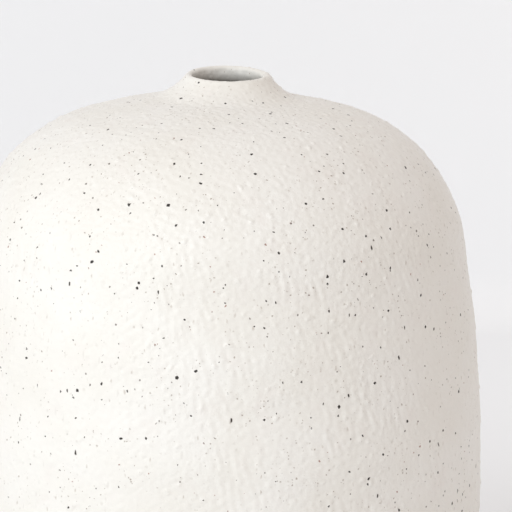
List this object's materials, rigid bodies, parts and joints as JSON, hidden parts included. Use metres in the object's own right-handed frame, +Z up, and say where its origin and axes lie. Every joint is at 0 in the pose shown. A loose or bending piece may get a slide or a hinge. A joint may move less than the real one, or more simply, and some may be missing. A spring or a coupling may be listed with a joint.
{
  "type": "stoneware vase",
  "caption": "Large round-shouldered bottle vase in speckled off-white stoneware, with a short flared neck, a small mouth and a bare foot ring on felt pads.",
  "frame": {"origin": "bottom centre of the vase, on the surface it stands on, on the axis of the body", "axes": "+Z up along the body's axis, +X towards the side that the neck leans to, -Y towards the viewer"},
  "size_m": [0.2999, 0.3, 0.3704],
  "materials": {
    "speckled_glaze": "satin, speckled",
    "liner_glaze": "semi-gloss",
    "bare_clay": "matte, fired",
    "slip": "matte, fired",
    "felt": "matte"
  },
  "bodies": {
    "root": {"foot_pad_1": "felt", "foot_pad_2": "felt", "foot_pad_3": "felt", "foot_pad_4": "felt", "foot_ring": "bare_clay", "foot_slip": "slip", "lower_body": "bare_clay", "seam_slip": "slip", "upper_body": "bare_clay", "neck_slip": "slip", "neck_collar": "bare_clay", "body_glaze": "speckled_glaze", "neck_glaze": "speckled_glaze", "liner_glaze": "liner_glaze"}
  },
  "joints": []
}
